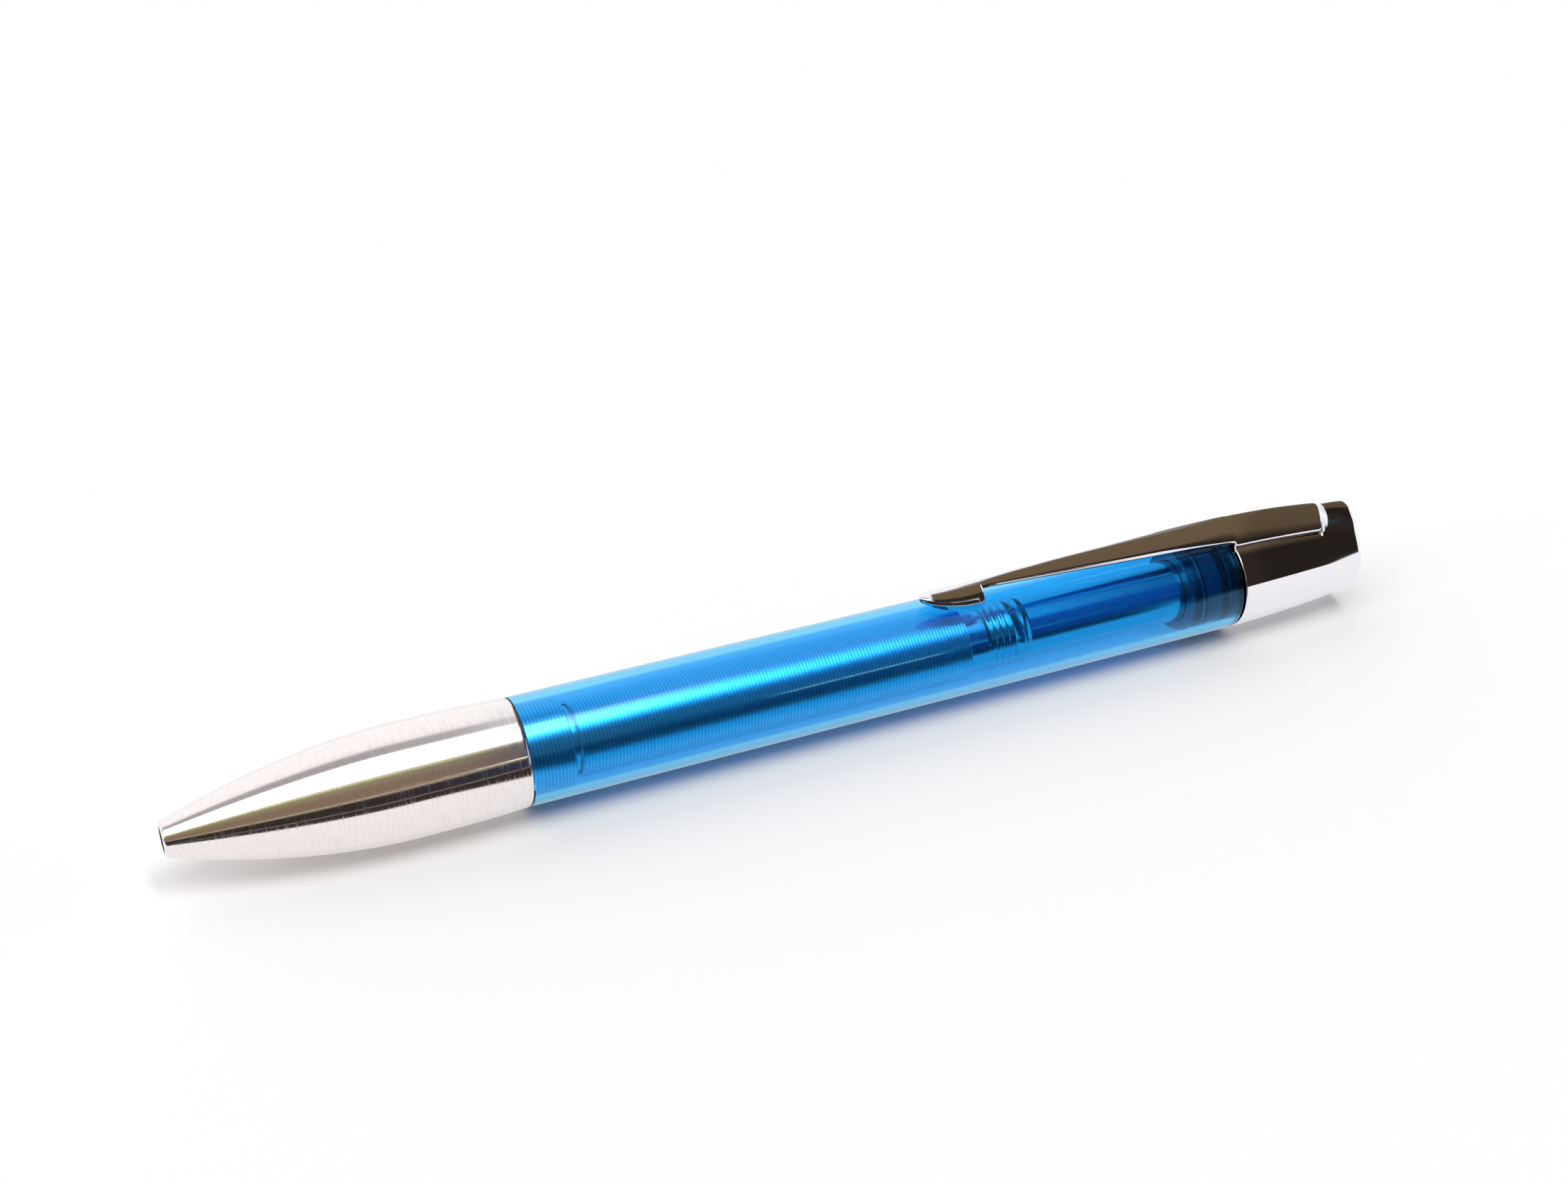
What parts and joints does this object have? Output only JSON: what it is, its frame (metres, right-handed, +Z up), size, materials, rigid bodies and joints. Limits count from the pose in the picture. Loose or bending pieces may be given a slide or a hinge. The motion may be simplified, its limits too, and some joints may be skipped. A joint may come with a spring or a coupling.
{
  "type": "ballpoint pen",
  "caption": "Twist-action ballpoint pen with a swelling nose, a clear barrel, a mirror-bright cap and a sprung clip; turning the cap moves the refill's point out and in.",
  "frame": {"origin": "middle of the pen's length, on its centre plane, at the height of the surface it lies on", "axes": "+X along the pen from the nose to the cap, +Z up through the clip"},
  "size_m": [0.132, 0.0116, 0.0136],
  "materials": {
    "nose_steel": "fine turned",
    "turned_metal": "bright turned",
    "clear_blue": "polished, see-through",
    "grey_plastic": "moulded",
    "dark_plastic": "moulded",
    "black_rubber": "smooth",
    "mirror_chrome": "mirror polished",
    "refill_metal": "nickel plated",
    "ink": "paste"
  },
  "bodies": {
    "barrel": {"nose_cone": "nose_steel", "front_bush": "turned_metal", "barrel_tube": "clear_blue", "inner_sleeve": "turned_metal", "mechanism_housing": "turned_metal", "housing_ring": "turned_metal", "refill_spring": "nose_steel"},
    "cap": {"cap_shell": "mirror_chrome", "cap_spigot": "dark_plastic", "friction_ring": "black_rubber", "cap_insert": "dark_plastic", "cam_sleeve": "grey_plastic", "drive_stem": "turned_metal"},
    "clip": {"clip": "mirror_chrome"},
    "refill": {"refill_tube": "refill_metal", "refill_tip": "refill_metal", "refill_ball": "nose_steel", "ink_column": "ink", "refill_plug": "dark_plastic", "plunger": "grey_plastic", "follower_pin": "nose_steel"}
  },
  "joints": [
    {"name": "cap_twist", "type": "hinge", "parent": "barrel", "child": "cap", "pos_m": [0.0498, 0, 0.00575], "axis": [-1, 0, 0], "range_deg": [0, 120]},
    {"name": "refill_slide", "type": "slide", "parent": "barrel", "child": "refill", "axis": [-1, 0, 0], "range_m": [0, 0.0055], "deforming": ["refill_spring"]},
    {"name": "clip_flex", "type": "hinge", "parent": "cap", "child": "clip", "pos_m": [0.0604, 0, 0.01015], "axis": [0, 1, 0], "range_deg": [0, 3.5], "stiffness_Nm_per_rad": 3}
  ],
  "couplings": [
    {"joint": "cap_twist", "follows": "refill_slide", "rad_per_m": 380.79}
  ]
}
